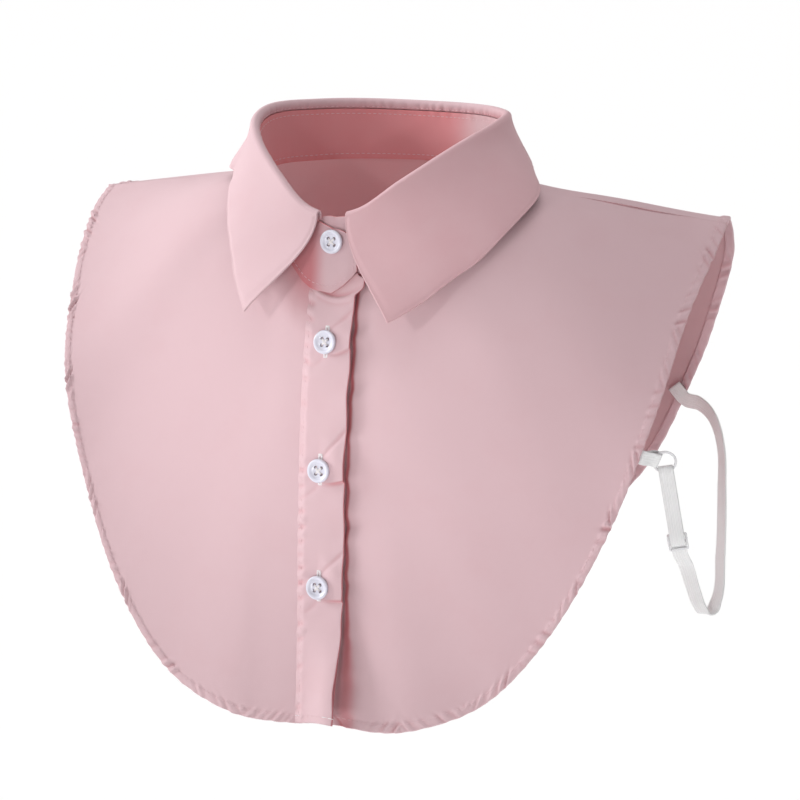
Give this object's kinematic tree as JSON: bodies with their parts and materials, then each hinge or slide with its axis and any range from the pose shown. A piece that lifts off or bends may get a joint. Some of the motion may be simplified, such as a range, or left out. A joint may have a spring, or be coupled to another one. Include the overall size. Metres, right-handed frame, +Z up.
{
  "type": "detachable shirt collar",
  "caption": "Detachable shirt collar with a folded point collar on a stand, buttoned front bib, back bib and adjustable elastic side straps, in its worn form.",
  "frame": {"origin": "on the neck's axis, level with the side of the neck seam, where the collar sits round a neck", "axes": "+Z up, -Y towards the wearer's front, +X towards the wearer's left, across the shoulders"},
  "size_m": [0.3391, 0.1519, 0.2886],
  "materials": {
    "cotton": "plain woven pink cotton, matte",
    "buttons": "satin, milky lilac white",
    "elastic": "ribbed woven elastic, matte",
    "fittings": "smooth white, semi-gloss"
  },
  "bodies": {
    "root": {"collar_stand": "cotton", "collar_leaf": "cotton", "front_right": "cotton", "front_left": "cotton", "placket": "cotton", "back_bib": "cotton", "button_1": "buttons", "button_2": "buttons", "button_3": "buttons", "button_4": "buttons", "strap_left": "elastic", "strap_right": "elastic", "tab_left": "elastic", "tab_right": "elastic", "ring_left": "fittings", "ring_right": "fittings", "slider_left": "fittings", "slider_right": "fittings"}
  },
  "joints": []
}
